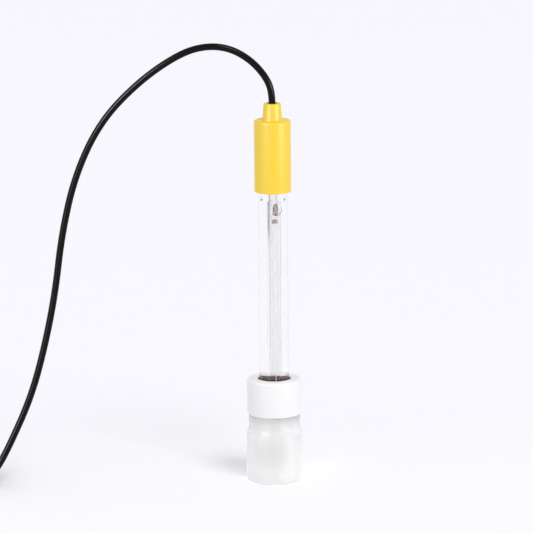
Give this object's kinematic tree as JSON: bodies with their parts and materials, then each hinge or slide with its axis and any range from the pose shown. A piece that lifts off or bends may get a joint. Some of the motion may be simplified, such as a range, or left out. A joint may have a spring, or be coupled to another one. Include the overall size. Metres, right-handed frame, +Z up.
{
  "type": "combination_redox_electrode_with_storage_bottle",
  "caption": "A glass combination redox electrode with a yellow head and a black lead, standing in its small storage bottle",
  "frame": {"origin": "centre of the bottle's base, on the surface it stands on", "axes": "+Z up along the electrode, +X to the right and -X to the side on which the cable leaves, +Y away from the side seen in the picture"},
  "size_m": [0.1944, 0.035, 0.18],
  "materials": {
    "translucent_plastic": "frosted, translucent natural plastic",
    "clear_liquid": "clear liquid",
    "white_plastic": "smooth, faintly glossy moulding",
    "seal_rubber": "matte dark red-brown",
    "washer_plastic": "smooth",
    "clear_glass": "clear, polished",
    "platinum": "bright metal",
    "frit_ceramic": "matte, porous",
    "clear_gel": "clear gel",
    "stopper_rubber": "matte",
    "solder": "dull dark metal",
    "copper": "drawn copper",
    "silver_chloride": "dull dark coating on silver",
    "yellow_plastic": "satin moulding",
    "potting_resin": "cast resin",
    "cable_jacket": "glossy black jacket",
    "dielectric": "waxy white",
    "tinned": "tinned",
    "boot_rubber": "satin black",
    "nickel": "nickel plated",
    "gold": "gold plated",
    "spring_steel": "spring steel"
  },
  "bodies": {
    "bottle": {"storage_bottle": "translucent_plastic", "storage_solution": "clear_liquid", "cable_coil": "cable_jacket", "plug_boot": "boot_rubber", "crimp_ferrule": "nickel", "plug_body": "nickel", "retaining_ring": "nickel", "plug_insulator": "dielectric", "contact_pin": "gold", "plug_gasket": "seal_rubber", "wave_washer": "spring_steel", "plug_dielectric": "dielectric"},
    "seal": {"seal_ring": "seal_rubber", "slip_washer": "washer_plastic"},
    "lid": {"bottle_lid": "white_plastic"},
    "electrode": {"glass_body": "clear_glass", "platinum_pin": "platinum", "pin_wire": "platinum", "ceramic_junction": "frit_ceramic", "reference_gel": "clear_gel", "tube_stopper": "stopper_rubber", "contact_bead": "solder", "sensor_lead": "copper", "reference_wire": "silver_chloride", "head_cap": "yellow_plastic", "head_resin": "potting_resin", "cable_jacket_end": "cable_jacket", "cable_dielectric": "dielectric", "sensor_sleeve": "tinned", "reference_sleeve": "tinned", "cable_conductor": "copper", "cable_braid_tail": "tinned", "cable": "cable_jacket"},
    "nut": {"coupling_nut": "nickel"}
  },
  "joints": [
    {"name": "seal_lift", "type": "slide", "parent": "bottle", "child": "seal", "axis": [0, 0, 1], "range_m": [0, 0.006]},
    {"name": "lid_turn", "type": "hinge", "parent": "seal", "child": "lid", "pos_m": [0, 0, 0.0425], "axis": [0, 0, 1], "range_deg": [0, 720]},
    {"name": "electrode_lift", "type": "slide", "parent": "bottle", "child": "electrode", "axis": [0, 0, 1], "range_m": [0, 0.036]},
    {"name": "nut_turn", "type": "hinge", "parent": "bottle", "child": "nut", "pos_m": [-0.17305, -0.00412, 0.00739], "axis": [-0.976, 0.2075, -0.0663], "continuous": true}
  ],
  "couplings": [
    {"joint": "lid_turn", "follows": "seal_lift", "rad_per_m": 2094}
  ]
}
